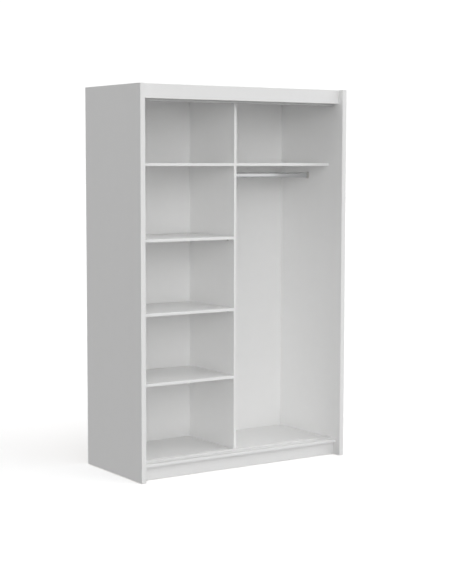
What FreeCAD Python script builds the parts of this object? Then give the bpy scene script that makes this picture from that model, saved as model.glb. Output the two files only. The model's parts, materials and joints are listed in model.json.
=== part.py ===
import FreeCAD
import Part
import os

# Open sliding-door wardrobe carcass: shelves in the left bay, a hanging rail in the right bay.
# Millimetres. +Z is up and the open front faces -Y. The origin is on the floor, under the centre.
# "Depth" is measured backwards from the front edges of the two side panels.

WIDTH = 1350.0
DEPTH = 600.0
HEIGHT = 2100.0

# Boards
SIDE = 28.0
BOARD = 16.0
BACK = 3.0
BAND = 1.0
BAND_RADIUS = 0.7
REBATE = 9.0
REBATE_SETBACK = 14.0

# Depths of the front faces, and of the boards' rear edges
BASE_DEPTH = 36.0
PLINTH_DEPTH = 60.0
BAY_DEPTH = 125.0
REAR = DEPTH - REBATE_SETBACK
REAR_PLINTH_SETBACK = 15.0

# Heights
PLINTH_TOP = 75.0
FLOOR = PLINTH_TOP + BOARD
FASCIA_BOTTOM = 2024.0
TOP_TRACK_BOTTOM = 2012.0
TOP_TRACK_HEIGHT = 38.0
CEILING = TOP_TRACK_BOTTOM + TOP_TRACK_HEIGHT
FIXED_SHELF = 1672.0
LOOSE_SHELVES = {"upper": 1268.0, "middle": 870.0, "lower": 492.0}
SHELF_PLAY = 0.5
SHELF_BACK_GAP = 2.0

# Door tracks
TRACK_WIDTH = 45.0
TRACK_DEPTH = BAY_DEPTH - TRACK_WIDTH
TRACK_WALL = 1.6
CHANNEL = (TRACK_WIDTH - 3 * TRACK_WALL) / 2
RIB_HEIGHT = 8.0
RIB_WIDTH = 4.0
TRACK_SCREW_PITCH = 300.0
TRACK_SCREW_INSET = 60.0

# Hanging rail, an upright oval tube
RAIL_DEPTH = 322.0
RAIL_DROP = 53.0
RAIL_TALL = 30.0
RAIL_THICK = 15.0
RAIL_WALL = 1.2
SOCKET_PLATE = 3.0
SOCKET_CUP = 12.0
SOCKET_WALL = 2.2
SOCKET_FIT = 0.2
SOCKET_SCREW_STEP = 8.0
SOCKET_TALL = 38.0
SOCKET_WIDTH = 23.0

# Cam fittings
CAM_RADIUS = 7.5
CAM_PLAY = 0.1
CAM_BORE = 12.5
CAM_REACH = 34.0
CAM_INSET = 50.0
CAM_SLOT = (9.0, 1.6, 0.8)
BOLT_BORE = 4.0
BOLT_SHANK = (3.5, 24.0)
BOLT_NECK = (1.7, 7.5)
BOLT_HEAD = (3.0, 3.5)
BOLT_LAP = 0.5
THREAD_RADIUS = 2.5
THREAD_LENGTH = 11.0
CAP_RADIUS = 8.5
CAP_HEIGHT = 1.0
FASCIA_CAM_RISE = 13.0
FASCIA_DOWEL_STEP = 45.0

# Dowels
DOWEL_RADIUS = 4.0
DOWEL_LENGTH = 35.0
DOWEL_IN_SIDE = 14.0
DOWEL_IN_BOARD_FACE = 10.0
DOWEL_OFFSET = 32.0
LONG_DOWEL_LENGTH = 60.0

# Screws, nails and glides
SCREW_RADIUS = 1.75
SCREW_HEAD_RADIUS = 3.5
SCREW_HEAD = 2.0
SCREW_RECESS = (3.6, 0.9, 0.8)
SCREW_LENGTH = 13.0
BOARD_SCREW_LENGTH = 50.0
BOARD_SCREW_HEAD = (5.0, 4.0)
BOARD_SCREW_SHANK = 3.5
BOARD_SCREW_THREAD = 2.6
BOARD_SCREW_SOCKET = (2.0, 3.0)
NAIL_RADIUS = 0.7
NAIL_LENGTH = 18.0
NAIL_HEAD = (1.6, 0.8)
NAIL_PITCH = 190.0
NAIL_INSET = 5.0
NAIL_END_GAP = 60.0
GLIDE = 3.0
GLIDE_RADIUS = 8.0
GLIDE_NAIL = (1.2, 14.0)
GLIDE_INSET = 40.0

# Shelf supports
PEG_RADIUS = 2.5
PEG_LENGTH = 9.0
SUPPORT_INSET = 60.0
SUPPORT_REACH = 8.0
SUPPORT_WIDTH = 11.0
SUPPORT_LIP = 2.0
SUPPORT_HEIGHT = 10.0

# Steel angles above the ceiling board
BRACKET = 2.0
FASCIA_BRACKET_X = 400.0
FASCIA_BRACKET_WIDTH = 20.0
FASCIA_BRACKET_LEG = 28.0
FASCIA_SCREW_RISE = 18.0
WALL_BRACKET_X = 500.0
WALL_BRACKET_WIDTH = 44.0
WALL_BRACKET_FOOT = 38.0
WALL_BRACKET_LEG = 30.0
WALL_SCREW_SPREAD = 12.0
WALL_SCREW_DEPTH = 28.0
WALL_HOLE_RADIUS = 3.0
WALL_HOLE_RISE = 18.0
BACK_SEAM = 0.5

LEFT = -WIDTH / 2
RIGHT = WIDTH / 2
INNER = WIDTH / 2 - SIDE
HALF = BOARD / 2
FRONT = -DEPTH / 2

X = FreeCAD.Vector(1, 0, 0)
Y = FreeCAD.Vector(0, 1, 0)
Z = FreeCAD.Vector(0, 0, 1)

cutters = []
groups = {}


def at(x, depth, z):
    """A point from its place across the width, its depth behind the front, and its height."""
    return FreeCAD.Vector(x, FRONT + depth, z)


def block(x0, x1, depth0, depth1, z0, z1):
    return Part.makeBox(x1 - x0, depth1 - depth0, z1 - z0, at(x0, depth0, z0))


def rod(radius, length, start, direction):
    return Part.makeCylinder(radius, length, start, direction)


def cone(radius0, radius1, length, start, direction):
    return Part.makeCone(radius0, radius1, length, start, direction)


def fused(shapes):
    return shapes[0].fuse(shapes[1:]).removeSplitter()


def extruded(points, direction):
    """A straight extrusion of the closed outline through the points."""
    face = Part.Face(Part.makePolygon(points + [points[0]]))
    return face.extrude(direction)


def add(node, solid):
    groups.setdefault(node, []).append(solid)


def drilled(panel):
    """The panel less every hole that reaches it."""
    holes = [hole for hole in cutters if hole.BoundBox.intersect(panel.BoundBox)]
    if not holes:
        return panel
    return panel.cut(holes)


def save(node, solids):
    shape = solids[0] if len(solids) == 1 else Part.makeCompound(solids)
    shape.exportStep(os.path.join("parts", node + ".step"))


# ---- fittings: each call adds the fitting and the holes that it sits in ----

def driver_slot(surface, direction, size):
    """A straight slot, by length, width and depth, let into a head at its surface."""
    length, width, depth = size
    slot = Part.makeBox(length, width, 2 * depth)
    slot.translate(FreeCAD.Vector(-length / 2, -width / 2, -depth))
    slot.Placement = FreeCAD.Placement(surface, FreeCAD.Rotation(Z, direction)).multiply(slot.Placement)
    return slot


def cam_lock(centre, face):
    """A cam disc let into a board, with the bolt's mouth and a driver slot."""
    surface = centre + face * HALF
    lock = rod(CAM_RADIUS - CAM_PLAY, CAM_BORE - CAM_PLAY, surface, face * -1)
    mouth = rod(BOLT_BORE, 2 * CAM_RADIUS, centre - X * CAM_RADIUS, X)
    add("cam_locks", lock.cut([mouth, driver_slot(surface, face * -1, CAM_SLOT)]))
    cutters.append(rod(CAM_RADIUS, CAM_BORE, surface, face * -1))


def cam_cap(centre, face):
    """A thin pressed cap over a cam that would otherwise show."""
    add("cam_caps", rod(CAP_RADIUS, CAP_HEIGHT, centre + face * HALF, face))


def bolt_head(start, direction):
    """The part of a cam bolt that lies inside the board's edge."""
    pieces = []
    reach = 0.0
    for radius, length in (BOLT_SHANK, BOLT_NECK, BOLT_HEAD):
        pieces.append(rod(radius, length, start + direction * reach, direction))
        reach += length - BOLT_LAP
    return pieces


def cam_joint(x, depth, z, inward, face, capped=False):
    """Board end against a side panel: a bolt in the side, a cam in the board."""
    start = at(x, depth, z)
    direction = X * inward
    thread = rod(THREAD_RADIUS, THREAD_LENGTH, start, direction * -1)
    add("cam_bolts", fused([thread] + bolt_head(start, direction)))
    cutters.append(rod(THREAD_RADIUS, THREAD_LENGTH, start, direction * -1))
    cutters.append(rod(BOLT_BORE, CAM_REACH, start, direction))
    centre = start + direction * CAM_REACH
    cam_lock(centre, face)
    if capped:
        cam_cap(centre, face)


def double_cam_joint(depth, z, face):
    """Two shelves at one height, drawn together through the divider."""
    through = rod(BOLT_SHANK[0], BOARD, at(-HALF, depth, z), X)
    left = bolt_head(at(-HALF, depth, z), X * -1)
    right = bolt_head(at(HALF, depth, z), X)
    add("cam_bolts_double", fused([through] + left + right))
    length = BOARD + 2 * CAM_REACH
    cutters.append(rod(BOLT_BORE, length, at(-length / 2, depth, z), X))
    for side in (-1, 1):
        centre = at(side * length / 2, depth, z)
        cam_lock(centre, face)
        cam_cap(centre, face)


def dowel(start, direction, node="dowels", length=DOWEL_LENGTH):
    peg = rod(DOWEL_RADIUS, length, start, direction)
    add(node, peg)
    cutters.append(peg)


def side_dowel(x, depth, z, inward):
    """Board end against a side panel."""
    dowel(at(x - inward * DOWEL_IN_SIDE, depth, z), X * inward)


def wood_screw(start, direction, countersunk):
    """A slotted screw whose head sits on, or in, the surface at start."""
    shank = rod(SCREW_RADIUS, SCREW_LENGTH, start, direction)
    cutters.append(shank)
    if countersunk:
        top = start
        head = cone(SCREW_HEAD_RADIUS, SCREW_RADIUS, SCREW_HEAD, start, direction)
        cutters.append(head)
    else:
        top = start - direction * SCREW_HEAD
        head = rod(SCREW_HEAD_RADIUS, SCREW_HEAD, top, direction)
    return fused([head, shank]).cut(driver_slot(top, direction, SCREW_RECESS))


def board_screw(start, direction):
    """A long connecting screw, driven through one board into the edge of another."""
    head_radius, head_length = BOARD_SCREW_HEAD
    head = cone(head_radius, BOARD_SCREW_SHANK, head_length, start, direction)
    shank = rod(BOARD_SCREW_SHANK, BOARD - head_length, start + direction * head_length, direction)
    thread_length = BOARD_SCREW_LENGTH - BOARD
    thread = rod(BOARD_SCREW_THREAD, thread_length, start + direction * BOARD, direction)
    screw = fused([head, shank, thread])
    cutters.append(screw)
    socket_radius, socket_depth = BOARD_SCREW_SOCKET
    add("divider_screws", screw.cut(rod(socket_radius, socket_depth, start, direction)))


def shelf_support(x, depth, z, inward):
    """A peg in the wall with a flat-topped bracket under the shelf."""
    peg_z = z - SUPPORT_HEIGHT / 2
    root = at(x + inward * SUPPORT_LIP / 2, depth, peg_z)
    peg = rod(PEG_RADIUS, PEG_LENGTH + SUPPORT_LIP / 2, root, X * -inward)
    reach = x + inward * SUPPORT_REACH
    toe = x + inward * SUPPORT_LIP
    lip = z - SUPPORT_LIP
    profile = [
        at(x, depth - SUPPORT_WIDTH / 2, z),
        at(reach, depth - SUPPORT_WIDTH / 2, z),
        at(reach, depth - SUPPORT_WIDTH / 2, lip),
        at(toe, depth - SUPPORT_WIDTH / 2, z - SUPPORT_HEIGHT),
        at(x, depth - SUPPORT_WIDTH / 2, z - SUPPORT_HEIGHT),
    ]
    bracket = extruded(profile, Y * SUPPORT_WIDTH)
    add("shelf_supports", fused([bracket, peg]))
    cutters.append(rod(PEG_RADIUS, PEG_LENGTH, at(x, depth, peg_z), X * -inward))


def glide(x, depth):
    """A nail-on plastic glide under a board's lower edge."""
    radius, length = GLIDE_NAIL
    disc = rod(GLIDE_RADIUS, GLIDE, at(x, depth, 0), Z)
    nail = rod(radius, length, at(x, depth, GLIDE), Z)
    add("floor_glides", fused([disc, nail]))
    cutters.append(nail)


def back_nail(x, z):
    """A pin through the back sheet into the board in front of it."""
    head_radius, head_length = NAIL_HEAD
    shank = rod(NAIL_RADIUS, NAIL_LENGTH, at(x, REAR + BACK, z), Y * -1)
    head = rod(head_radius, head_length, at(x, REAR + BACK, z), Y)
    add("back_nails", fused([shank, head]))
    cutters.append(shank)


def spread(first, last, pitch):
    """Evenly spaced places from first to last, no further apart than the pitch."""
    gaps = max(1, int((last - first) / pitch + 0.999))
    return [first + (last - first) * i / gaps for i in range(gaps + 1)]


# ---- where the fittings go ----

def end_fittings(front, rear, z, face, capped=False, ends=(-1, 1)):
    """Two cams and two dowels at each end of a board that meets a side panel."""
    for end in ends:
        x = end * INNER
        for depth, step in ((front + CAM_INSET, 1), (rear - CAM_INSET, -1)):
            cam_joint(x, depth, z, -end, face, capped)
            side_dowel(x, depth + step * DOWEL_OFFSET, z, -end)


def upright_fittings(depth, z, spread_z):
    """One cam and one dowel at each end of an upright board, its cams in its rear face."""
    for end in (-1, 1):
        cam_joint(end * INNER, depth, z, -end, Y)
        side_dowel(end * INNER, depth, z + spread_z, -end)


def divider_fittings():
    places = (BAY_DEPTH + CAM_INSET, REAR - CAM_INSET)
    for depth, step in zip(places, (1, -1)):
        board_screw(at(0, depth, PLINTH_TOP), Z)
        board_screw(at(0, depth, CEILING + BOARD), Z * -1)
        pegged = depth + step * DOWEL_OFFSET
        dowel(at(0, pegged, FLOOR - DOWEL_IN_BOARD_FACE), Z)
        dowel(at(0, pegged, CEILING + DOWEL_IN_BOARD_FACE), Z * -1)


def fixed_shelf_fittings():
    z = FIXED_SHELF + HALF
    end_fittings(BAY_DEPTH, REAR, z, Z, capped=True)
    for depth, step in ((BAY_DEPTH + CAM_INSET, 1), (REAR - CAM_INSET, -1)):
        double_cam_joint(depth, z, Z)
        start = at(-LONG_DOWEL_LENGTH / 2, depth + step * DOWEL_OFFSET, z)
        dowel(start, X, "long_dowels", LONG_DOWEL_LENGTH)


def support_fittings():
    for z in LOOSE_SHELVES.values():
        for depth in (BAY_DEPTH + SUPPORT_INSET, REAR - SUPPORT_INSET):
            shelf_support(-INNER, depth, z, 1)
            shelf_support(-HALF, depth, z, -1)


def centre_support_dowels():
    """The rib under the floor is pegged between the two plinth boards."""
    for z in (PLINTH_TOP / 3, PLINTH_TOP * 2 / 3):
        dowel(at(0, PLINTH_DEPTH + BOARD - DOWEL_IN_BOARD_FACE, z), Y)
        dowel(at(0, REAR - REAR_PLINTH_SETBACK - BOARD + DOWEL_IN_BOARD_FACE, z), Y * -1)


def glides():
    for depth in (GLIDE_INSET, DEPTH / 2, DEPTH - GLIDE_INSET):
        glide(LEFT + SIDE / 2, depth)
        glide(RIGHT - SIDE / 2, depth)
    plinth_middles = (PLINTH_DEPTH + HALF, REAR - REAR_PLINTH_SETBACK - HALF)
    for depth in plinth_middles:
        glide(-WIDTH / 4, depth)
        glide(WIDTH / 4, depth)
    glide(0, DEPTH / 2)


def nails():
    edge = INNER + NAIL_INSET
    for side in (-1, 1):
        for z in spread(PLINTH_TOP + NAIL_END_GAP, CEILING - NAIL_END_GAP, NAIL_PITCH):
            back_nail(side * edge, z)
            back_nail(side * NAIL_INSET, z)
        for x in spread(NAIL_END_GAP, INNER - NAIL_END_GAP, NAIL_PITCH):
            back_nail(side * x, PLINTH_TOP + HALF)
            back_nail(side * x, CEILING + HALF)
            back_nail(side * x, FIXED_SHELF + HALF)


# ---- door tracks ----

def channel_middles():
    """Depths of the two doors' lines, shared by both tracks."""
    first = TRACK_DEPTH + TRACK_WALL + CHANNEL / 2
    return (first, first + CHANNEL + TRACK_WALL)


def track_screw_places():
    """Places clear of the divider's fittings at the middle."""
    outer = INNER - TRACK_SCREW_INSET
    return spread(-outer, outer, TRACK_SCREW_PITCH)


def top_track():
    """Two open channels side by side that guide the doors' upper edges."""
    track = block(-INNER, INNER, TRACK_DEPTH, BAY_DEPTH, TOP_TRACK_BOTTOM, CEILING)
    for depth in channel_middles():
        near = depth - CHANNEL / 2
        channel = block(-INNER, INNER, near, near + CHANNEL, TOP_TRACK_BOTTOM, CEILING - TRACK_WALL)
        track = track.cut(channel)
    for x in track_screw_places():
        for depth in channel_middles():
            screw = wood_screw(at(x, depth, CEILING - TRACK_WALL), Z, countersunk=False)
            add("top_track_screws", screw)
    return drilled(track)


def bottom_track():
    """A low plate with two round-topped ribs that the doors' wheels run on."""
    plate = block(-INNER, INNER, TRACK_DEPTH, BAY_DEPTH, FLOOR, FLOOR + TRACK_WALL)
    parts = [plate]
    crown = FLOOR + RIB_HEIGHT - RIB_WIDTH / 2
    for depth in channel_middles():
        parts.append(block(-INNER, INNER, depth - RIB_WIDTH / 2, depth + RIB_WIDTH / 2, FLOOR, crown))
        parts.append(rod(RIB_WIDTH / 2, 2 * INNER, at(-INNER, depth, crown), X))
    for x in track_screw_places():
        start = at(x, TRACK_DEPTH + TRACK_WIDTH / 2, FLOOR + TRACK_WALL)
        add("bottom_track_screws", wood_screw(start, Z * -1, countersunk=True))
    return drilled(fused(parts))


# ---- hanging rail ----

def oval(x, tall, thick):
    """An upright oval outline with flat sides, as a face square to X."""
    z = FIXED_SHELF - RAIL_DROP
    radius = thick / 2
    half = tall / 2 - radius
    upper = at(x, RAIL_DEPTH, z + half)
    lower = at(x, RAIL_DEPTH, z - half)
    crown = Part.Arc(upper - Y * radius, upper + Z * radius, upper + Y * radius)
    keel = Part.Arc(lower + Y * radius, lower - Z * radius, lower - Y * radius)
    back = Part.LineSegment(upper + Y * radius, lower + Y * radius)
    front = Part.LineSegment(lower - Y * radius, upper - Y * radius)
    return Part.Face(Part.Wire([edge.toShape() for edge in (crown, back, keel, front)]))


def hanging_rail():
    start = HALF + SOCKET_PLATE
    run = X * (INNER - HALF - 2 * SOCKET_PLATE)
    outer = oval(start, RAIL_TALL, RAIL_THICK).extrude(run)
    inner = oval(start, RAIL_TALL - 2 * RAIL_WALL, RAIL_THICK - 2 * RAIL_WALL).extrude(run)
    return outer.cut(inner)


def rail_socket(x, inward):
    """A flanged cup round the rail's end, with its two screws inside the cup."""
    plate = oval(x, SOCKET_TALL, SOCKET_WIDTH).extrude(X * inward * SOCKET_PLATE)
    slack = 2 * SOCKET_FIT
    wall = 2 * SOCKET_WALL
    cup = oval(x, RAIL_TALL + slack + wall, RAIL_THICK + slack + wall).extrude(X * inward * SOCKET_CUP)
    mouth = x + inward * SOCKET_PLATE
    pocket = oval(mouth, RAIL_TALL + slack, RAIL_THICK + slack).extrude(X * inward * SOCKET_CUP)
    z = FIXED_SHELF - RAIL_DROP
    for step in (-SOCKET_SCREW_STEP, SOCKET_SCREW_STEP):
        screw = wood_screw(at(mouth, RAIL_DEPTH, z + step), X * -inward, countersunk=True)
        add("rail_socket_screws", screw)
    return drilled(plate.fuse(cup).cut(pocket).removeSplitter())


# ---- brackets in the recess above the ceiling board ----

def angle(x, width, depth_face, depth_foot, tall):
    """A bent steel angle: one leg on the ceiling board, one leg upright at depth_face."""
    top = CEILING + BOARD
    low, high = sorted((depth_face, depth_foot))
    foot = block(x - width / 2, x + width / 2, low, high, top, top + BRACKET)
    if depth_face < depth_foot:
        leg = block(x - width / 2, x + width / 2, low, low + BRACKET, top, top + tall)
    else:
        leg = block(x - width / 2, x + width / 2, high - BRACKET, high, top, top + tall)
    return fused([foot, leg])


def fascia_brackets():
    top = CEILING + BOARD
    face = BASE_DEPTH + BOARD
    behind = face + BRACKET
    for x in (-FASCIA_BRACKET_X, 0.0, FASCIA_BRACKET_X):
        upper = wood_screw(at(x, behind, top + FASCIA_SCREW_RISE), Y * -1, countersunk=False)
        lower = wood_screw(at(x, face + FASCIA_SCREW_RISE, top + BRACKET), Z * -1, countersunk=False)
        add("fascia_bracket_screws", upper)
        add("fascia_bracket_screws", lower)
        foot_end = face + FASCIA_BRACKET_LEG
        bracket = angle(x, FASCIA_BRACKET_WIDTH, face, foot_end, FASCIA_BRACKET_LEG)
        add("fascia_brackets", drilled(bracket))


def wall_bracket(x):
    """An angle at the back of the top, with one hole for a wall screw."""
    top = CEILING + BOARD
    for offset in (-WALL_SCREW_SPREAD, WALL_SCREW_SPREAD):
        start = at(x + offset, DEPTH - WALL_SCREW_DEPTH, top + BRACKET)
        add("wall_bracket_screws", wood_screw(start, Z * -1, countersunk=False))
    wall_hole = rod(WALL_HOLE_RADIUS, BRACKET, at(x, DEPTH - BRACKET, top + WALL_HOLE_RISE), Y)
    bracket = angle(x, WALL_BRACKET_WIDTH, DEPTH, DEPTH - WALL_BRACKET_FOOT, WALL_BRACKET_LEG)
    return drilled(bracket).cut(wall_hole)


# ---- boards ----

def side_panel(side):
    """A thick side board, rebated along its inner rear edge for the back sheet."""
    outer = side * WIDTH / 2
    inner = side * INNER
    low, high = sorted((outer, inner))
    panel = block(low, high, BAND, DEPTH, GLIDE, HEIGHT)
    low, high = sorted((inner, inner + side * REBATE))
    return panel.cut(block(low, high, REAR, DEPTH, GLIDE, HEIGHT))


def shelf(x0, x1, rear, z):
    return block(x0, x1, BAY_DEPTH + BAND, rear, z, z + BOARD)


def edge_strip(strip, outward):
    """The strip with the two long edges of its outer face rounded."""
    middle = strip.BoundBox.Center
    longest = max(edge.Length for edge in strip.Edges)
    rounded = []
    for edge in strip.Edges:
        is_outer = (edge.CenterOfMass - middle).dot(outward) > 0
        if is_outer and edge.Length > longest - BAND:
            rounded.append(edge)
    return strip.makeFillet(BAND_RADIUS, rounded)


def front_band(x0, x1, depth, z0, z1):
    """The strip glued along a board's front edge."""
    return edge_strip(block(x0, x1, depth, depth + BAND, z0, z1), Y * -1)


def fascia_band(z, outward):
    """The strip along the fascia's lower or upper edge."""
    strip = block(-INNER, INNER, BASE_DEPTH, BASE_DEPTH + BOARD, z, z + BAND)
    return edge_strip(strip, outward)


def back_sheet(side):
    """One of two thin sheets that meet behind the divider."""
    low, high = sorted((side * BACK_SEAM, side * (INNER + REBATE - BACK_SEAM)))
    return block(low, high, REAR, REAR + BACK, PLINTH_TOP, CEILING + BOARD)


def make_boards():
    """Every board before it is drilled, by node name."""
    rear_plinth = REAR - REAR_PLINTH_SETBACK
    boards = {
        "side_panel_left": side_panel(-1),
        "side_panel_right": side_panel(1),
        "bottom_panel": block(-INNER, INNER, BASE_DEPTH + BAND, REAR, PLINTH_TOP, FLOOR),
        "top_panel": block(-INNER, INNER, BASE_DEPTH + BOARD, REAR, CEILING, CEILING + BOARD),
        "fascia": block(-INNER, INNER, BASE_DEPTH, BASE_DEPTH + BOARD, FASCIA_BOTTOM + BAND, HEIGHT - BAND),
        "plinth_front": block(-INNER, INNER, PLINTH_DEPTH, PLINTH_DEPTH + BOARD, GLIDE, PLINTH_TOP),
        "plinth_rear": block(-INNER, INNER, rear_plinth - BOARD, rear_plinth, GLIDE, PLINTH_TOP),
        "centre_support": block(-HALF, HALF, PLINTH_DEPTH + BOARD, rear_plinth - BOARD, GLIDE, PLINTH_TOP),
        "divider": block(-HALF, HALF, BAY_DEPTH + BAND, REAR, FLOOR, CEILING),
        "fixed_shelf_left": shelf(-INNER, -HALF, REAR, FIXED_SHELF),
        "fixed_shelf_right": shelf(HALF, INNER, REAR, FIXED_SHELF),
        "back_panel_left": back_sheet(-1),
        "back_panel_right": back_sheet(1),
    }
    for name, z in LOOSE_SHELVES.items():
        boards["shelf_" + name] = shelf(-INNER + SHELF_PLAY, -HALF - SHELF_PLAY, REAR - SHELF_BACK_GAP, z)
    return boards


def make_bands():
    """The edge strips, by node name."""
    bands = {
        "edge_band_side_left": [front_band(LEFT, -INNER, 0, GLIDE, HEIGHT)],
        "edge_band_side_right": [front_band(INNER, RIGHT, 0, GLIDE, HEIGHT)],
        "edge_band_bottom": [front_band(-INNER, INNER, BASE_DEPTH, PLINTH_TOP, FLOOR)],
        "edge_band_divider": [front_band(-HALF, HALF, BAY_DEPTH, FLOOR, CEILING)],
        "edge_band_fixed_shelf_left":
            [front_band(-INNER, -HALF, BAY_DEPTH, FIXED_SHELF, FIXED_SHELF + BOARD)],
        "edge_band_fixed_shelf_right":
            [front_band(HALF, INNER, BAY_DEPTH, FIXED_SHELF, FIXED_SHELF + BOARD)],
        "edge_band_fascia": [fascia_band(FASCIA_BOTTOM, Z * -1), fascia_band(HEIGHT - BAND, Z)],
    }
    for name, z in LOOSE_SHELVES.items():
        band = front_band(-INNER + SHELF_PLAY, -HALF - SHELF_PLAY, BAY_DEPTH, z, z + BOARD)
        bands["edge_band_shelf_" + name] = [band]
    return bands


os.makedirs("parts", exist_ok=True)

end_fittings(BASE_DEPTH, REAR, PLINTH_TOP + HALF, Z * -1)
end_fittings(BASE_DEPTH + BOARD, REAR, CEILING + HALF, Z)
upright_fittings(PLINTH_DEPTH + HALF, PLINTH_TOP * 0.35, PLINTH_TOP * 0.35)
upright_fittings(REAR - REAR_PLINTH_SETBACK - HALF, PLINTH_TOP * 0.35, PLINTH_TOP * 0.35)
upright_fittings(BASE_DEPTH + HALF, FASCIA_BOTTOM + FASCIA_CAM_RISE, FASCIA_DOWEL_STEP)
divider_fittings()
fixed_shelf_fittings()
support_fittings()
centre_support_dowels()
glides()
nails()

tracks_and_rail = {
    "top_track": top_track(),
    "bottom_track": bottom_track(),
    "hanging_rail": hanging_rail(),
    "rail_socket_left": rail_socket(HALF, 1),
    "rail_socket_right": rail_socket(INNER, -1),
}
fascia_brackets()
for side, name in ((-1, "left"), (1, "right")):
    add("wall_bracket_" + name, wall_bracket(side * WALL_BRACKET_X))

for node, board in make_boards().items():
    save(node, [drilled(board)])
for node, bands in make_bands().items():
    save(node, bands)
for node, shape in tracks_and_rail.items():
    save(node, [shape])
for node, solids in groups.items():
    save(node, solids)
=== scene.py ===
import bmesh
import bpy
import json
import math
from mathutils import Matrix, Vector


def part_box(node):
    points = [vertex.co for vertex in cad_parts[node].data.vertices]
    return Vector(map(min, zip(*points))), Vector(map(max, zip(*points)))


# White sliding-door wardrobe carcass. Metres, in the CAD frame: +Z up, open front facing -Y.
# The sections make the shader helpers, the materials, the choice of material for each node, the
# softened edges, and the studio.

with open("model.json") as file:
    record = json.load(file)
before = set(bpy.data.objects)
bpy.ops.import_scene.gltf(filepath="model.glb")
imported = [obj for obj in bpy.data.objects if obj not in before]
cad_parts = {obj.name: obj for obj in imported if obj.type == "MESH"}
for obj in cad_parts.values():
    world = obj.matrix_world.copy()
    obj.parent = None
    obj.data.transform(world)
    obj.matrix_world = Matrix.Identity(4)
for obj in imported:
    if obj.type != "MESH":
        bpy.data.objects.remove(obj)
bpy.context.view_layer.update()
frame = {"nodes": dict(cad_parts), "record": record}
NODES = frame["nodes"]
MM = 0.001

# Camera
CAMERA_PLACE = (-4.336, -6.598, 1.697)
CAMERA_YAW = 33.649
CAMERA_PITCH = 5.319
CAMERA_ROLL = 0.092
CAMERA_LENS = 86.453
CAMERA_REACH = 1000.0

# Studio: each softbox is its azimuth, elevation, half width in degrees, and strength
SOFTBOXES = ((-30.0, 10.0, 25.0, 2.80), (45.0, 25.0, 45.0, 1.15))
ROOM_LOW = 0.06
ROOM_HIGH = 0.68
FLOOR_PALE = (0.9, 0.9, 0.9, 1.0)
FLOOR_GLOW = 0.42
BACKDROP_GLOW = 1.05
STUDIO_RADIUS = 100.0
BLACK = (0.0, 0.0, 0.0, 1.0)
PURE_WHITE = (1.0, 1.0, 1.0, 1.0)

# Board finish
WHITE = (0.935, 0.935, 0.932)
WHITE_LOW = (0.925, 0.925, 0.921)
DUSTY = (0.70, 0.69, 0.67)
CHIP_PALE = (0.52, 0.36, 0.20)
CHIP_MIDDLE = (0.36, 0.22, 0.11)
CHIP_DARK = (0.16, 0.09, 0.045)
FIBRE_PALE = (0.29, 0.165, 0.082)
FIBRE_DARK = (0.19, 0.10, 0.047)

# Powder coat of the tracks
COAT = (0.82, 0.82, 0.817)
COAT_LOW = (0.80, 0.80, 0.796)
COAT_RUBBED = (0.55, 0.55, 0.555)

# Dowels, and the moulded caps, pegs and glides
BEECH_PALE = (0.68, 0.48, 0.30)
BEECH_DARK = (0.55, 0.36, 0.21)
BEECH_RAY = (0.34, 0.19, 0.10)
PLASTIC = (0.87, 0.87, 0.86)
PLASTIC_LOW = (0.84, 0.84, 0.83)

# Metal finishes
CHROME = (0.64, 0.645, 0.65)
CHROME_DARK = (0.58, 0.585, 0.595)
NICKEL = (0.66, 0.65, 0.635)
NICKEL_DARK = (0.58, 0.57, 0.555)
NICKEL_RUBBED = (0.72, 0.715, 0.70)
ZINC_BLUE = (0.57, 0.59, 0.62)
ZINC_STRAW = (0.66, 0.64, 0.58)

# Edges: how far each kind of corner is rounded, and how thick the edging is
BOARD_CORNER = 0.25 * MM
METAL_CORNER = 0.2 * MM
FITTING_CORNER = 0.3 * MM
CORNER_ANGLE = 40.0
JOIN_WITHIN = 0.001 * MM
EDGING_THICK = 1.0 * MM

# Which of a board's faces are sawn and left raw, as unit directions
REAR = (0.0, 1.0, 0.0)
UNDER = (0.0, 0.0, -1.0)
OVER = (0.0, 0.0, 1.0)
LEFT = (-1.0, 0.0, 0.0)
RIGHT = (1.0, 0.0, 0.0)

# The colour sockets of a Mix node, which share their names with its other kinds of socket
MIX_AMOUNT = 0
MIX_FIRST = 6
MIX_SECOND = 7
MIX_COLOUR = 2


# ---- shader helpers ----

def shader_node(tree, kind, inputs=None, **settings):
    """A shader node; each input is a plain value or another node's output."""
    made = tree.nodes.new("ShaderNode" + kind)
    for name, value in settings.items():
        setattr(made, name, value)
    for name, value in (inputs or {}).items():
        if isinstance(value, bpy.types.NodeSocket):
            tree.links.new(value, made.inputs[name])
        else:
            made.inputs[name].default_value = value
    return made


def place(tree):
    """The point's place in the part's own frame, in metres."""
    return shader_node(tree, "TexCoord").outputs["Object"]


def dot(tree, first, second):
    """The dot product of two directions."""
    product = shader_node(tree, "VectorMath", {0: first, 1: second}, operation="DOT_PRODUCT")
    return product.outputs["Value"]


def facing(tree, direction):
    """The cosine between the surface's own direction and a direction of the part's frame."""
    return dot(tree, shader_node(tree, "TexCoord").outputs["Normal"], direction)


def math_node(tree, operation, first, second=0.0):
    return shader_node(tree, "Math", {0: first, 1: second}, operation=operation).outputs["Value"]


def scaled(tree, value, amount):
    return math_node(tree, "MULTIPLY", value, amount)


def total(tree, first, second):
    return math_node(tree, "ADD", first, second)


def scaled_place(tree, size, stretch):
    """The point's place counted in steps of size, and of size times its stretch along each axis."""
    scale = tuple(1.0 / (size * amount) for amount in stretch)
    steps = shader_node(tree, "VectorMath", {0: place(tree), 1: scale}, operation="MULTIPLY")
    return steps.outputs["Vector"]


def noise(tree, size, detail, stretch=(1.0, 1.0, 1.0)):
    """Cloudy noise whose features are about size across, drawn out along an axis by its stretch."""
    inputs = {"Vector": scaled_place(tree, size, stretch), "Scale": 1.0, "Detail": detail}
    return shader_node(tree, "TexNoise", inputs).outputs["Fac"]


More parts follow.
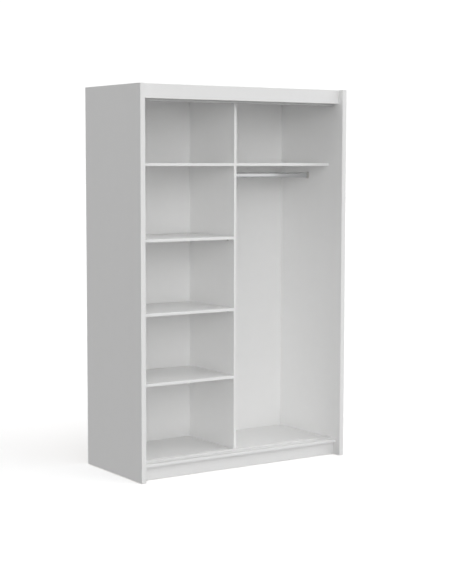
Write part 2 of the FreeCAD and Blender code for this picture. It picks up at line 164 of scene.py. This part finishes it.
def cells(tree, size, stretch=(1.0, 1.0, 1.0)):
    """Random cells about size across: the value is one number for each cell."""
    inputs = {"Vector": scaled_place(tree, size, stretch), "Scale": 1.0}
    colour = shader_node(tree, "TexVoronoi", inputs).outputs["Color"]
    return shader_node(tree, "SeparateColor", {"Color": colour}).outputs["Red"]


def spread(tree, value, low, high, start=0.3, end=0.7):
    """The value, mapped from start..end to low..high and held there."""
    inputs = {"Value": value, "From Min": start, "From Max": end, "To Min": low, "To Max": high}
    return shader_node(tree, "MapRange", inputs).outputs["Result"]


def blend(tree, amount, first, second):
    """A colour between two colours."""
    mix = shader_node(tree, "Mix", data_type="RGBA")
    for number, value in ((MIX_AMOUNT, amount), (MIX_FIRST, first), (MIX_SECOND, second)):
        socket = mix.inputs[number]
        if isinstance(value, bpy.types.NodeSocket):
            tree.links.new(value, socket)
        elif isinstance(value, tuple):
            socket.default_value = (*value, 1.0)
        else:
            socket.default_value = value
    return mix.outputs[MIX_COLOUR]


def drift(tree, size, detail, low, high):
    """A value that drifts between low and high in clouds about size across."""
    return spread(tree, noise(tree, size, detail), low, high)


def mottle(tree, size, detail, first, second):
    """A colour that drifts between two colours in clouds about size across."""
    return blend(tree, drift(tree, size, detail, 0.0, 1.0), first, second)


def edge_wear(tree, width, reach):
    """Nearly 1 along sharp corners, broken up by noise, and 0 on the flat."""
    softened = shader_node(tree, "Bevel", {"Radius": width}, samples=4).outputs["Normal"]
    normal = shader_node(tree, "NewGeometry").outputs["Normal"]
    corner = spread(tree, dot(tree, softened, normal), 1.0, 0.0, start=0.72, end=0.995)
    return scaled(tree, corner, drift(tree, reach, 4.0, 0.15, 1.0))


def bump(tree, height, distance):
    """A bump whose height of 1 stands for the distance."""
    inputs = {"Height": height, "Distance": distance, "Strength": 1.0}
    return shader_node(tree, "Bump", inputs).outputs["Normal"]


def new_material(name, metallic=0.0):
    """A new material, its node tree and its shader."""
    material = bpy.data.materials.new(name)
    material.use_nodes = True
    shader = material.node_tree.nodes["Principled BSDF"]
    shader.inputs["Metallic"].default_value = metallic
    return material, material.node_tree, shader


def finish_material(tree, shader, colour, roughness, normal):
    """Joins the look's three parts to the shader."""
    for name, value in (("Base Color", colour), ("Roughness", roughness), ("Normal", normal)):
        tree.links.new(value, shader.inputs[name])


# ---- materials ----

def chipboard(tree):
    """Sawn chipboard: flakes of three browns with open pores between them."""
    flake = cells(tree, 2.6 * MM, stretch=(1.6, 1.6, 0.8))
    fine = cells(tree, 0.9 * MM)
    tone = blend(tree, spread(tree, flake, 0.0, 1.0), CHIP_MIDDLE, CHIP_PALE)
    pore = spread(tree, fine, 1.0, 0.0, start=0.04, end=0.2)
    height = math_node(tree, "SUBTRACT", scaled(tree, flake, 0.6), pore)
    return blend(tree, pore, tone, CHIP_DARK), height


def melamine(name, sawn_faces):
    """White melamine with a fine pearl grain, and raw chipboard on the faces that are only sawn."""
    material, tree, shader = new_material(name)
    pearl = noise(tree, 1.3 * MM, detail=3.0)
    ripple = noise(tree, 14.0 * MM, detail=1.0)
    wear = edge_wear(tree, 0.7 * MM, 9.0 * MM)
    colour = mottle(tree, 60.0 * MM, 5.0, WHITE_LOW, WHITE)
    colour = blend(tree, scaled(tree, wear, 0.55), colour, DUSTY)
    rough = drift(tree, 90.0 * MM, 6.0, 0.36, 0.46)
    rough = total(tree, rough, scaled(tree, wear, 0.2))
    height = total(tree, pearl, scaled(tree, ripple, 0.8))
    raw = 0.0
    for direction in sawn_faces:
        side = spread(tree, facing(tree, direction), 0.0, 1.0, start=0.85, end=0.9)
        raw = math_node(tree, "MAXIMUM", raw, side)
    brown, relief = chipboard(tree)
    colour = blend(tree, raw, colour, brown)
    rough = math_node(tree, "MAXIMUM", rough, scaled(tree, raw, 0.85))
    relief = scaled(tree, raw, scaled(tree, relief, 5.0))
    height = total(tree, height, relief)
    finish_material(tree, shader, colour, rough, bump(tree, height, 0.03 * MM))
    return material


def edge_strip(name, axis, glue_line):
    """Moulded edging, a little glossier than the board, with the hairline where it is glued on."""
    material, tree, shader = new_material(name)
    along = shader_node(tree, "SeparateXYZ", {"Vector": place(tree)}).outputs[axis]
    gap = math_node(tree, "ABSOLUTE", math_node(tree, "SUBTRACT", along, glue_line))
    line = spread(tree, gap, 1.0, 0.0, start=0.06 * MM, end=0.16 * MM)
    wear = edge_wear(tree, 0.6 * MM, 14.0 * MM)
    grain = noise(tree, 0.8 * MM, detail=2.0)
    colour = mottle(tree, 40.0 * MM, 4.0, WHITE_LOW, WHITE)
    colour = blend(tree, scaled(tree, wear, 0.3), colour, DUSTY)
    colour = blend(tree, scaled(tree, line, 0.75), colour, CHIP_MIDDLE)
    rough = drift(tree, 25.0 * MM, 5.0, 0.28, 0.38)
    rough = total(tree, rough, scaled(tree, wear, 0.15))
    height = math_node(tree, "SUBTRACT", grain, scaled(tree, line, 2.0))
    finish_material(tree, shader, colour, rough, bump(tree, height, 0.02 * MM))
    return material


def back_sheet(name):
    """Thin hardboard: white lacquer towards the front, bare brown fibre on the rear and edges."""
    material, tree, shader = new_material(name)
    white = spread(tree, facing(tree, REAR), 1.0, 0.0, start=-0.9, end=-0.85)
    lacquer = mottle(tree, 70.0 * MM, 4.0, WHITE_LOW, WHITE)
    strands = noise(tree, 0.7 * MM, detail=5.0, stretch=(5.0, 1.0, 1.0))
    clouds = noise(tree, 45.0 * MM, detail=6.0)
    fibre = blend(tree, spread(tree, strands, 0.0, 1.0), FIBRE_DARK, FIBRE_PALE)
    fibre = blend(tree, spread(tree, clouds, 0.0, 0.5), fibre, FIBRE_PALE)
    mesh = total(tree, mesh_mark(tree, "X"), mesh_mark(tree, "Z"))
    ripple = noise(tree, 9.0 * MM, detail=2.0)
    smooth = scaled(tree, ripple, 0.5)
    coarse = total(tree, scaled(tree, mesh, 0.8), strands)
    bare = math_node(tree, "SUBTRACT", 1.0, white)
    height = total(tree, scaled(tree, white, smooth), scaled(tree, bare, coarse))
    rough = spread(tree, white, 0.82, 0.40, start=0.0, end=1.0)
    rough = total(tree, rough, drift(tree, 30.0 * MM, 5.0, -0.04, 0.04))
    colour = blend(tree, white, fibre, lacquer)
    finish_material(tree, shader, colour, rough, bump(tree, height, 0.08 * MM))
    return material


def mesh_mark(tree, axis):
    """The print that the press's wire mesh leaves on the rear of hardboard."""
    along = shader_node(tree, "SeparateXYZ", {"Vector": place(tree)}).outputs[axis]
    return math_node(tree, "SINE", scaled(tree, along, 2 * math.pi / (1.6 * MM)))


def powder_coat(name):
    """White powder coat on drawn aluminium: orange peel over faint lengthwise lines."""
    material, tree, shader = new_material(name)
    peel = noise(tree, 2.2 * MM, detail=1.0)
    lines = noise(tree, 0.5 * MM, detail=2.0, stretch=(400.0, 1.0, 1.0))
    wear = edge_wear(tree, 0.8 * MM, 20.0 * MM)
    colour = mottle(tree, 50.0 * MM, 4.0, COAT_LOW, COAT)
    colour = blend(tree, scaled(tree, wear, 0.4), colour, COAT_RUBBED)
    rough = drift(tree, 35.0 * MM, 5.0, 0.27, 0.37)
    height = total(tree, peel, scaled(tree, lines, 0.25))
    finish_material(tree, shader, colour, rough, bump(tree, height, 0.05 * MM))
    return material


def chrome(name):
    """Bright chrome on a drawn tube, with fine lengthwise lines and hanger rub marks on its crown."""
    material, tree, shader = new_material(name, metallic=1.0)
    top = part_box("hanging_rail")[1].z
    height = shader_node(tree, "SeparateXYZ", {"Vector": place(tree)}).outputs["Z"]
    crown = spread(tree, height, 0.0, 1.0, start=top - 5.0 * MM, end=top - 1.0 * MM)
    lines = noise(tree, 0.6 * MM, detail=3.0, stretch=(300.0, 1.0, 1.0))
    rubs = noise(tree, 1.2 * MM, detail=3.0, stretch=(1.0, 12.0, 12.0))
    rub = scaled(tree, crown, spread(tree, rubs, 0.0, 1.0, start=0.52, end=0.62))
    colour = blend(tree, spread(tree, lines, 0.0, 1.0), CHROME_DARK, CHROME)
    rough = total(tree, spread(tree, lines, 0.19, 0.27), scaled(tree, rub, 0.18))
    relief = total(tree, lines, rub)
    finish_material(tree, shader, colour, rough, bump(tree, relief, 0.008 * MM))
    return material


def zinc_casting(name):
    """Die-cast zinc with a satin nickel plate and a slightly pebbled skin."""
    material, tree, shader = new_material(name, metallic=1.0)
    pebble = noise(tree, 0.9 * MM, detail=3.0)
    wear = edge_wear(tree, 0.5 * MM, 4.0 * MM)
    colour = mottle(tree, 6.0 * MM, 4.0, NICKEL_DARK, NICKEL)
    colour = blend(tree, wear, colour, NICKEL_RUBBED)
    rough = drift(tree, 3.0 * MM, 4.0, 0.30, 0.46)
    finish_material(tree, shader, colour, rough, bump(tree, pebble, 0.05 * MM))
    return material


def zinc_plate(name):
    """Bright zinc-plated steel: small crystal patches and a faint blue to straw cast."""
    material, tree, shader = new_material(name, metallic=1.0)
    patch = cells(tree, 1.8 * MM)
    cast = noise(tree, 8.0 * MM, detail=3.0)
    colour = blend(tree, spread(tree, cast, 0.0, 1.0), ZINC_BLUE, ZINC_STRAW)
    rough = spread(tree, patch, 0.24, 0.40, start=0.0, end=1.0)
    scratches = noise(tree, 0.4 * MM, detail=3.0, stretch=(1.0, 1.0, 8.0))
    height = total(tree, scaled(tree, patch, 0.3), scratches)
    finish_material(tree, shader, colour, rough, bump(tree, height, 0.02 * MM))
    return material


def beech(name):
    """Turned beech with short dark rays along its grain."""
    material, tree, shader = new_material(name)
    grain = noise(tree, 0.5 * MM, detail=4.0, stretch=(14.0, 1.0, 1.0))
    rays = noise(tree, 0.35 * MM, detail=1.0, stretch=(6.0, 1.0, 1.0))
    colour = blend(tree, spread(tree, grain, 0.0, 1.0), BEECH_DARK, BEECH_PALE)
    colour = blend(tree, spread(tree, rays, 0.0, 0.6, start=0.62, end=0.72), colour, BEECH_RAY)
    rough = spread(tree, grain, 0.62, 0.74)
    finish_material(tree, shader, colour, rough, bump(tree, grain, 0.08 * MM))
    return material


def moulded_plastic(name):
    """White moulded plastic with a spark-eroded skin, rubbed smoother on its edges."""
    material, tree, shader = new_material(name)
    spark = noise(tree, 0.35 * MM, detail=3.0)
    wear = edge_wear(tree, 0.4 * MM, 3.0 * MM)
    colour = mottle(tree, 9.0 * MM, 3.0, PLASTIC_LOW, PLASTIC)
    colour = blend(tree, scaled(tree, wear, 0.4), colour, DUSTY)
    rough = math_node(tree, "SUBTRACT", spread(tree, spark, 0.42, 0.55), scaled(tree, wear, 0.15))
    finish_material(tree, shader, colour, rough, bump(tree, spark, 0.03 * MM))
    return material


# ---- which node gets which material ----

def raw_faces(name):
    """The sawn faces of each board that its fittings and edging leave bare."""
    if name.startswith("side_panel"):
        return (REAR, UNDER, OVER)
    if name in ("plinth_front", "plinth_rear", "centre_support"):
        return (UNDER, OVER, LEFT, RIGHT)
    if name == "divider":
        return (REAR, UNDER, OVER)
    if name == "fascia":
        return (LEFT, RIGHT)
    return (REAR, LEFT, RIGHT)


def edging(name):
    """The strip's material. Its glue line lies where it meets the board, at the fascia's lower edge too."""
    low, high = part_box(name)
    if name == "edge_band_fascia":
        return edge_strip(name, "Z", low.z + EDGING_THICK)
    return edge_strip(name, "Y", high.y)


def make_materials():
    """One material for each finish, and one more for each kind of board and strip."""
    shared = {
        "back_sheet": back_sheet("back_sheet"),
        "track": powder_coat("track"),
        "rail_chrome": chrome("rail_chrome"),
        "zinc_casting": zinc_casting("zinc_casting"),
        "steel": zinc_plate("steel"),
        "beech": beech("beech"),
        "white_plastic": moulded_plastic("white_plastic"),
    }
    boards = {}
    for part in frame["record"]["subparts"]:
        name = part["node"]
        slot = part["material_slot"]
        if slot == "melamine":
            faces = raw_faces(name)
            if faces not in boards:
                boards[faces] = melamine("melamine_%d" % (len(boards) + 1), faces)
            material = boards[faces]
        elif slot == "edge_band":
            material = edging(name)
        else:
            material = shared[slot]
        NODES[name].data.materials.clear()
        NODES[name].data.materials.append(material)


# ---- softened edges ----

def soften(name, width):
    """Joins the node's faces at their edges and rounds its sharp corners a little."""
    join = NODES[name].modifiers.new("join", "WELD")
    join.merge_threshold = JOIN_WITHIN
    corner = NODES[name].modifiers.new("corners", "BEVEL")
    corner.width = width
    corner.segments = 2
    corner.limit_method = "ANGLE"
    corner.angle_limit = math.radians(CORNER_ANGLE)
    corner.harden_normals = True


def soften_edges():
    """Rounds the corners of the boards, the tracks and sockets, and the small fittings."""
    for part in frame["record"]["subparts"]:
        if part["material_slot"] == "melamine":
            soften(part["node"], BOARD_CORNER)
    for name in ("top_track", "bottom_track", "rail_socket_left", "rail_socket_right"):
        soften(name, METAL_CORNER)
    for name in ("cam_caps", "shelf_supports", "fascia_brackets",
                 "wall_bracket_left", "wall_bracket_right"):
        soften(name, FITTING_CORNER)


# ---- studio ----

def seen_only(stage):
    """The studio's floor and backdrop show behind the object, and its softboxes alone light it."""
    stage.visible_diffuse = False
    stage.visible_glossy = False
    stage.visible_shadow = False


def make_floor():
    """A pale floor that catches the object's soft shadow."""
    mesh = bpy.data.meshes.new("floor")
    square = ((-1, -1), (1, -1), (1, 1), (-1, 1))
    corners = [(x * STUDIO_RADIUS, y * STUDIO_RADIUS, 0.0) for x, y in square]
    mesh.from_pydata(corners, [], [(0, 1, 2, 3)])
    floor = bpy.data.objects.new("floor", mesh)
    bpy.context.scene.collection.objects.link(floor)
    material, _, shader = new_material("floor")
    shader.inputs["Base Color"].default_value = FLOOR_PALE
    shader.inputs["Roughness"].default_value = 0.9
    shader.inputs["Specular IOR Level"].default_value = 0.0
    shader.inputs["Emission Color"].default_value = PURE_WHITE
    shader.inputs["Emission Strength"].default_value = FLOOR_GLOW
    mesh.materials.append(material)
    seen_only(floor)


def make_backdrop():
    """A white dome far behind everything."""
    mesh = bpy.data.meshes.new("backdrop")
    shape = bmesh.new()
    bmesh.ops.create_icosphere(shape, subdivisions=4, radius=STUDIO_RADIUS)
    shape.to_mesh(mesh)
    shape.free()
    backdrop = bpy.data.objects.new("backdrop", mesh)
    bpy.context.scene.collection.objects.link(backdrop)
    material, _, shader = new_material("backdrop")
    shader.inputs["Base Color"].default_value = BLACK
    shader.inputs["Specular IOR Level"].default_value = 0.0
    shader.inputs["Emission Color"].default_value = PURE_WHITE
    shader.inputs["Emission Strength"].default_value = BACKDROP_GLOW
    mesh.materials.append(material)
    seen_only(backdrop)


def toward(azimuth, elevation):
    """A direction: azimuth 0 is straight in front of the object, and 90 is towards +X."""
    turn = math.radians(azimuth)
    rise = math.radians(elevation)
    return (math.cos(rise) * math.sin(turn), -math.cos(rise) * math.cos(turn), math.sin(rise))


def make_light():
    """Two large round softboxes in a dim room that grows brighter overhead."""
    world = bpy.data.worlds.new("studio")
    world.use_nodes = True
    tree = world.node_tree
    ray = shader_node(tree, "TexCoord").outputs["Generated"]
    rise = shader_node(tree, "SeparateXYZ", {"Vector": ray}).outputs["Z"]
    light = spread(tree, rise, ROOM_LOW, ROOM_HIGH, start=-1.0, end=1.0)
    for azimuth, elevation, half_width, strength in SOFTBOXES:
        middle = toward(azimuth, elevation)
        rim = math.cos(math.radians(half_width))
        inputs = {"Value": dot(tree, ray, middle), "From Min": rim, "From Max": 1.0,
                  "To Min": 0.0, "To Max": strength}
        box = shader_node(tree, "MapRange", inputs, interpolation_type="SMOOTHSTEP").outputs["Result"]
        light = total(tree, light, box)
    tree.links.new(light, tree.nodes["Background"].inputs["Strength"])
    tree.nodes["Background"].inputs["Color"].default_value = PURE_WHITE
    bpy.context.scene.world = world
    bpy.context.scene.view_settings.view_transform = "Standard"


def make_camera():
    """A long lens at the front left, at eye height."""
    data = bpy.data.cameras.new("camera")
    data.lens = CAMERA_LENS
    data.clip_end = CAMERA_REACH
    camera = bpy.data.objects.new("camera", data)
    bpy.context.scene.collection.objects.link(camera)
    turn = Matrix.Rotation(-math.radians(CAMERA_YAW), 4, "Z")
    tilt = Matrix.Rotation(math.radians(90.0 - CAMERA_PITCH), 4, "X")
    roll = Matrix.Rotation(math.radians(CAMERA_ROLL), 4, "Z")
    camera.matrix_world = Matrix.Translation(CAMERA_PLACE) @ turn @ tilt @ roll
    bpy.context.scene.camera = camera


make_materials()
soften_edges()
make_floor()
make_backdrop()
make_light()
make_camera()
